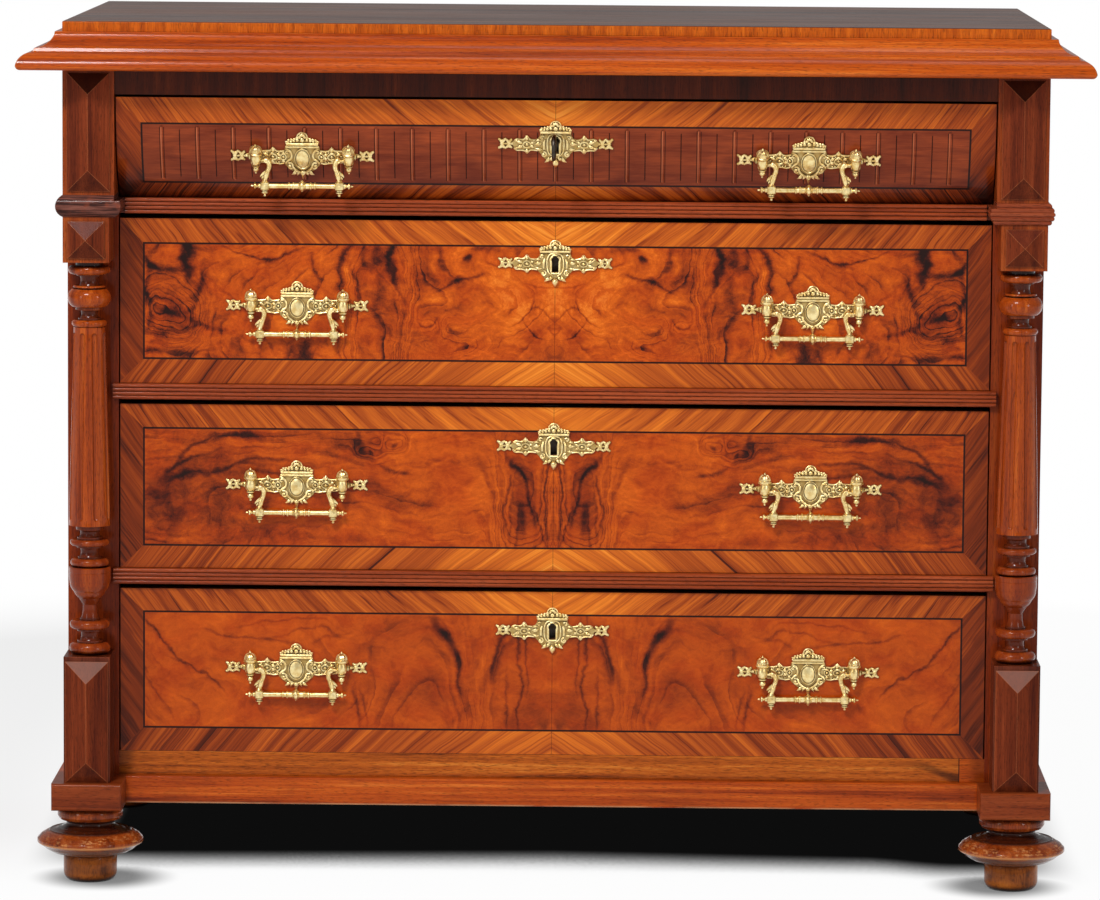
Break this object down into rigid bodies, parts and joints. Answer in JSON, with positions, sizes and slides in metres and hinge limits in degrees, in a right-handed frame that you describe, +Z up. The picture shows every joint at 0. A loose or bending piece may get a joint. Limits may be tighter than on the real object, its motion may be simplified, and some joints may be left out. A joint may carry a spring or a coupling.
{
  "type": "chest of drawers",
  "caption": "Wide chest of stacked drawers with a curved, fluted top drawer, veneered fronts, turned corner columns, bun feet, moulded cornice and swinging brass bail pulls.",
  "frame": {"origin": "on the floor under the middle of the chest", "axes": "+Z up, +X to the right of someone facing the drawers, -Y out of the drawer fronts"},
  "size_m": [1.16, 0.595, 0.9451],
  "materials": {
    "top_wood": "polished",
    "cornice_wood": "polished",
    "side_wood": "polished",
    "frame_wood": "polished",
    "turned_wood": "polished",
    "veneer": "polished burr veneer",
    "softwood": "planed, aged",
    "brass": "cast, aged",
    "steel": "brushed",
    "dark_steel": "dark"
  },
  "bodies": {
    "carcase": {"top_slab": "top_wood", "cornice_front": "cornice_wood", "cornice_sides": "cornice_wood", "side_right": "side_wood", "side_left": "side_wood", "back_panel": "softwood", "under_top": "softwood", "bottom_board": "softwood", "stiles": "frame_wood", "frieze_rail": "frame_wood", "frieze_posts": "frame_wood", "collars": "turned_wood", "capital_blocks": "frame_wood", "column_right": "turned_wood", "column_left": "turned_wood", "pedestals": "frame_wood", "applied_panels": "turned_wood", "drawer_rails": "frame_wood", "reeded_strips": "turned_wood", "drawer_runners": "softwood", "drawer_guides": "softwood", "drawer_stops": "softwood", "bottom_rail": "frame_wood", "apron": "frame_wood", "plinth_blocks": "frame_wood", "plinth_boards": "frame_wood", "feet": "turned_wood"},
    "drawer_1": {"drawer_1_front": "veneer", "drawer_1_sides": "softwood", "drawer_1_bottom": "softwood", "drawer_1_brass": "brass", "drawer_1_lock": "steel"},
    "bail_1_left": {"bail_1_left": "brass"},
    "bail_1_right": {"bail_1_right": "brass"},
    "bolt_1": {"bolt_1": "steel"},
    "drawer_2": {"drawer_2_front": "veneer", "drawer_2_sides": "softwood", "drawer_2_bottom": "softwood", "drawer_2_brass": "brass", "drawer_2_lock": "steel"},
    "bail_2_left": {"bail_2_left": "brass"},
    "bail_2_right": {"bail_2_right": "brass"},
    "bolt_2": {"bolt_2": "steel"},
    "drawer_3": {"drawer_3_front": "veneer", "drawer_3_sides": "softwood", "drawer_3_bottom": "softwood", "drawer_3_brass": "brass", "drawer_3_lock": "steel"},
    "bail_3_left": {"bail_3_left": "brass"},
    "bail_3_right": {"bail_3_right": "brass"},
    "bolt_3": {"bolt_3": "steel"},
    "drawer_4": {"drawer_4_front": "veneer", "drawer_4_sides": "softwood", "drawer_4_bottom": "softwood", "drawer_4_brass": "brass", "drawer_4_lock": "steel"},
    "bail_4_left": {"bail_4_left": "brass"},
    "bail_4_right": {"bail_4_right": "brass"},
    "bolt_4": {"bolt_4": "steel"},
    "key": {"key": "dark_steel"}
  },
  "joints": [
    {"name": "drawer_1_slide", "type": "slide", "parent": "carcase", "child": "drawer_1", "axis": [0, -1, 0], "range_m": [0, 0.36]},
    {"name": "bail_1_left_swing", "type": "hinge", "parent": "drawer_1", "child": "bail_1_left", "pos_m": [-0.2745, -0.24066, 0.7955], "axis": [-1, 0, 0], "range_deg": [0, 95]},
    {"name": "bail_1_right_swing", "type": "hinge", "parent": "drawer_1", "child": "bail_1_right", "pos_m": [0.2745, -0.24066, 0.7955], "axis": [-1, 0, 0], "range_deg": [0, 95]},
    {"name": "bolt_1_slide", "type": "slide", "parent": "drawer_1", "child": "bolt_1", "axis": [0, 0, 1], "range_m": [0, 0.011]},
    {"name": "drawer_2_slide", "type": "slide", "parent": "carcase", "child": "drawer_2", "axis": [0, -1, 0], "range_m": [0, 0.36]},
    {"name": "bail_2_left_swing", "type": "hinge", "parent": "drawer_2", "child": "bail_2_left", "pos_m": [-0.282, -0.2035, 0.6304], "axis": [-1, 0, 0], "range_deg": [0, 95]},
    {"name": "bail_2_right_swing", "type": "hinge", "parent": "drawer_2", "child": "bail_2_right", "pos_m": [0.282, -0.2035, 0.6304], "axis": [-1, 0, 0], "range_deg": [0, 95]},
    {"name": "bolt_2_slide", "type": "slide", "parent": "drawer_2", "child": "bolt_2", "axis": [0, 0, 1], "range_m": [0, 0.011]},
    {"name": "drawer_3_slide", "type": "slide", "parent": "carcase", "child": "drawer_3", "axis": [0, -1, 0], "range_m": [0, 0.36]},
    {"name": "bail_3_left_swing", "type": "hinge", "parent": "drawer_3", "child": "bail_3_left", "pos_m": [-0.282, -0.2035, 0.4338], "axis": [-1, 0, 0], "range_deg": [0, 95]},
    {"name": "bail_3_right_swing", "type": "hinge", "parent": "drawer_3", "child": "bail_3_right", "pos_m": [0.282, -0.2035, 0.4338], "axis": [-1, 0, 0], "range_deg": [0, 95]},
    {"name": "bolt_3_slide", "type": "slide", "parent": "drawer_3", "child": "bolt_3", "axis": [0, 0, 1], "range_m": [0, 0.011]},
    {"name": "drawer_4_slide", "type": "slide", "parent": "carcase", "child": "drawer_4", "axis": [0, -1, 0], "range_m": [0, 0.36]},
    {"name": "bail_4_left_swing", "type": "hinge", "parent": "drawer_4", "child": "bail_4_left", "pos_m": [-0.282, -0.2035, 0.2317], "axis": [-1, 0, 0], "range_deg": [0, 95]},
    {"name": "bail_4_right_swing", "type": "hinge", "parent": "drawer_4", "child": "bail_4_right", "pos_m": [0.282, -0.2035, 0.2317], "axis": [-1, 0, 0], "range_deg": [0, 95]},
    {"name": "bolt_4_slide", "type": "slide", "parent": "drawer_4", "child": "bolt_4", "axis": [0, 0, 1], "range_m": [0, 0.011]},
    {"name": "key_turn", "type": "hinge", "parent": "drawer_1", "child": "key", "pos_m": [0, -0.2185, 0.82], "axis": [-0.026, -0.9922, -0.1219], "range_deg": [0, 180]}
  ],
  "couplings": [
    {"joint": "key_turn", "follows": "bolt_1_slide", "rad_per_m": 285.5}
  ]
}
